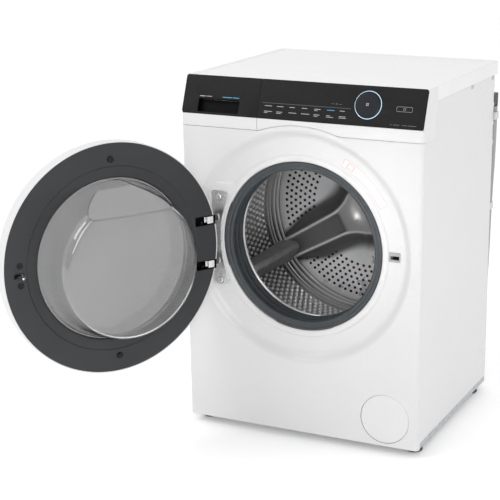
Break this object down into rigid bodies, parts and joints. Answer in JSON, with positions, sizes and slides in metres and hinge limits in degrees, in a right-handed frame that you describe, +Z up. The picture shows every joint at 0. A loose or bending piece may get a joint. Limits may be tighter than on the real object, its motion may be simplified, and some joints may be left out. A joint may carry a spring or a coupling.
{
  "type": "front load washing machine",
  "caption": "Free-standing front load washing machine with an open porthole door, stainless drum, sloping dark fascia, detergent drawer, dial and filter flap.",
  "frame": {"origin": "on the floor at the centre of the cabinet's footprint", "axes": "+Z up, +Y towards the rear, +X to the right of somebody facing the machine"},
  "size_m": [0.8075, 1.0066, 0.85],
  "materials": {
    "white_enamel": "smooth white enamel",
    "galvanised": "galvanised sheet",
    "white_laminate": "white laminate and moulded edge",
    "white_moulding": "white moulded plastic",
    "pale_moulding": "pale grey moulded plastic",
    "fascia_black": "satin black fascia",
    "ring_light": "lit light guide",
    "door_black": "fine textured black plastic",
    "smoked_glass": "tinted outer window",
    "clear_glass": "pressed clear glass",
    "gasket_rubber": "dark grey moulded rubber",
    "stainless": "stainless drum steel",
    "zinc_casting": "grey zinc casting",
    "machined_steel": "plain steel",
    "lock_grey": "grey plastic",
    "black_plastic": "black moulded plastic",
    "hose_grey": "dark corrugated hose",
    "board_green": "circuit board",
    "valve_white": "white valve body",
    "concrete": "cast concrete",
    "copper_iron": "wound iron core",
    "rotor_steel": "zinc-plated steel bell"
  },
  "bodies": {
    "cabinet": {"side_panel_left": "white_enamel", "side_panel_right": "white_enamel", "front_panel": "white_enamel", "rear_panel": "galvanised", "rear_service_cover": "pale_moulding", "base_tray": "galvanised", "worktop": "white_laminate", "cross_bars": "galvanised", "levelling_feet": "black_plastic", "foot_lock_nuts": "machined_steel", "cabinet_screws": "machined_steel", "fascia_panel": "fascia_black", "dial_light_ring": "ring_light", "control_carrier": "white_moulding", "control_board": "board_green", "dispenser_housing": "pale_moulding", "inlet_valve": "valve_white", "power_cord_gland": "black_plastic", "door_hinge": "zinc_casting", "door_lock": "lock_grey", "door_gasket": "gasket_rubber", "suspension_springs": "machined_steel", "damper_cylinders": "black_plastic", "sump_hose": "gasket_rubber", "fill_hose": "gasket_rubber", "pump_housing": "black_plastic", "drain_hose": "hose_grey", "drain_hose_elbow": "black_plastic", "hose_end_cuff": "black_plastic", "hose_clips": "pale_moulding"},
    "door": {"door_shell": "white_moulding", "door_window": "smoked_glass", "door_ring": "door_black", "door_glass": "clear_glass", "door_buffers": "gasket_rubber", "latch_screw_caps": "door_black", "hinge_pin": "machined_steel", "hinge_bracket": "galvanised"},
    "latch": {"latch_hook": "machined_steel"},
    "drawer": {"drawer_front": "fascia_black", "drawer_trim": "white_moulding", "drawer_tray": "pale_moulding", "softener_insert": "lock_grey"},
    "dial": {"program_dial": "fascia_black"},
    "key": {"power_key": "fascia_black"},
    "filter_flap": {"filter_cover": "white_moulding"},
    "filter": {"pump_filter": "lock_grey"},
    "tub": {"tub_front": "pale_moulding", "tub_rear": "pale_moulding", "front_counterweight": "concrete", "top_counterweight": "concrete", "motor_stator": "copper_iron", "bearings": "machined_steel", "damper_rods": "machined_steel"},
    "drum": {"drum_shell": "stainless", "drum_back": "stainless", "drum_lifters": "stainless", "drum_shaft": "machined_steel", "motor_rotor": "rotor_steel"},
    "impeller": {"pump_impeller": "black_plastic"}
  },
  "joints": [
    {"name": "door_swing", "type": "hinge", "parent": "cabinet", "child": "door", "pos_m": [-0.2393, -0.2878, 0.4715], "axis": [0, 0, 1], "range_deg": [0, 120.7]},
    {"name": "hook_pivot", "type": "hinge", "parent": "door", "child": "latch", "pos_m": [-0.47133, -0.69582, 0.4715], "axis": [0, 0, -1], "range_deg": [0, 12], "stiffness_Nm_per_rad": 0.3},
    {"name": "drawer_slide", "type": "slide", "parent": "cabinet", "child": "drawer", "axis": [0, -1, 0], "range_m": [0, 0.235]},
    {"name": "dial_turn", "type": "hinge", "parent": "cabinet", "child": "dial", "pos_m": [0.1614, -0.2474, 0.81012], "axis": [0, -0.9289, 0.3704], "continuous": true},
    {"name": "key_press", "type": "slide", "parent": "cabinet", "child": "key", "axis": [0, 0.9289, -0.3704], "range_m": [0, 0.0015], "stiffness_N_per_m": 600},
    {"name": "flap_swing", "type": "hinge", "parent": "cabinet", "child": "filter_flap", "pos_m": [0.2148, -0.2648, 0.0284], "axis": [1, 0, 0], "range_deg": [0, 95]},
    {"name": "filter_turn", "type": "hinge", "parent": "cabinet", "child": "filter", "pos_m": [0.2148, -0.2, 0.0867], "axis": [0, 1, 0], "continuous": true},
    {"name": "tub_float", "type": "slide", "parent": "cabinet", "child": "tub", "axis": [0, 0, 1], "range_m": [-0.008, 0.008], "stiffness_N_per_m": 16000, "springref_m": 0.0201, "deforming": ["suspension_springs", "door_gasket", "sump_hose", "fill_hose"]},
    {"name": "drum_spin", "type": "hinge", "parent": "tub", "child": "drum", "pos_m": [0, 0, 0.4715], "axis": [0, 1, 0], "continuous": true},
    {"name": "impeller_spin", "type": "hinge", "parent": "cabinet", "child": "impeller", "pos_m": [0.2148, -0.12, 0.0867], "axis": [0, 1, 0], "continuous": true}
  ]
}
